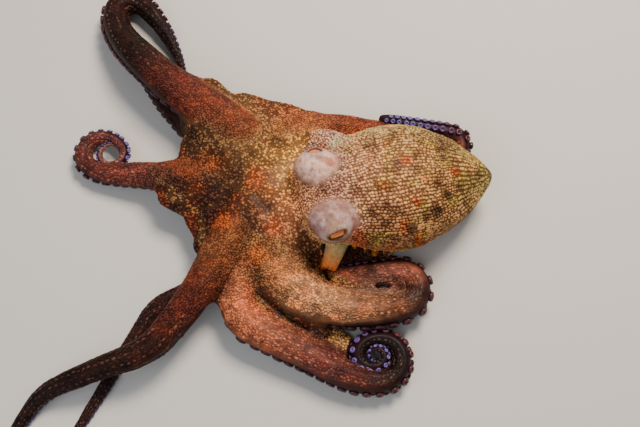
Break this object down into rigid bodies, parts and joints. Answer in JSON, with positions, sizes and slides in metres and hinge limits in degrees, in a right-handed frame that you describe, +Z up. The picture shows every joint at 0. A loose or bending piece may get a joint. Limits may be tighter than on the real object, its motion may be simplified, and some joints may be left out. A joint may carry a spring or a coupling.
{
  "type": "octopus",
  "caption": "Common octopus at rest on the sea bed, its arms coiled and spread round a scalloped web, its bag-shaped mantle lying behind the raised eyes.",
  "frame": {"origin": "the mouth, on the flat under the crown of the arms where it rests on the floor", "axes": "+Z up from the floor, +X back along the body to the tip of the mantle, +Y to the animal's right"},
  "size_m": [0.388, 0.4089, 0.071],
  "materials": {
    "skin_mantle": "moist granular skin, tan and rust",
    "skin_head": "moist smooth skin, pale pink and tan",
    "skin_web": "moist granular skin, rust brown",
    "skin_arm": "moist skin, red brown with pale dots",
    "eye": "wet eye, orange iris"
  },
  "bodies": {
    "root": {"eye_right": "eye", "eye_left": "eye", "head": "skin_head", "mantle": "skin_mantle", "arm_right_1_a": "skin_arm", "arm_right_1_b": "skin_arm", "arm_right_1_c": "skin_arm", "arm_right_1_d": "skin_arm", "arm_right_2_a": "skin_arm", "arm_right_2_b": "skin_arm", "arm_right_2_c": "skin_arm", "arm_right_3_a": "skin_arm", "arm_right_3_b": "skin_arm", "arm_right_3_c": "skin_arm", "arm_right_3_d": "skin_arm", "arm_right_3_e": "skin_arm", "arm_right_4_a": "skin_arm", "arm_right_4_b": "skin_arm", "arm_right_4_c": "skin_arm", "arm_right_4_d": "skin_arm", "arm_left_1_a": "skin_arm", "arm_left_1_b": "skin_arm", "arm_left_1_c": "skin_arm", "arm_left_1_d": "skin_arm", "arm_left_2_a": "skin_arm", "arm_left_2_b": "skin_arm", "arm_left_2_c": "skin_arm", "arm_left_3_a": "skin_arm", "arm_left_3_b": "skin_arm", "arm_left_3_c": "skin_arm", "arm_left_3_d": "skin_arm", "arm_left_3_e": "skin_arm", "arm_left_3_f": "skin_arm", "arm_left_4_a": "skin_arm", "arm_left_4_b": "skin_arm", "arm_left_4_c": "skin_arm", "arm_left_4_d": "skin_arm", "funnel": "skin_head", "web": "skin_web"}
  },
  "joints": []
}
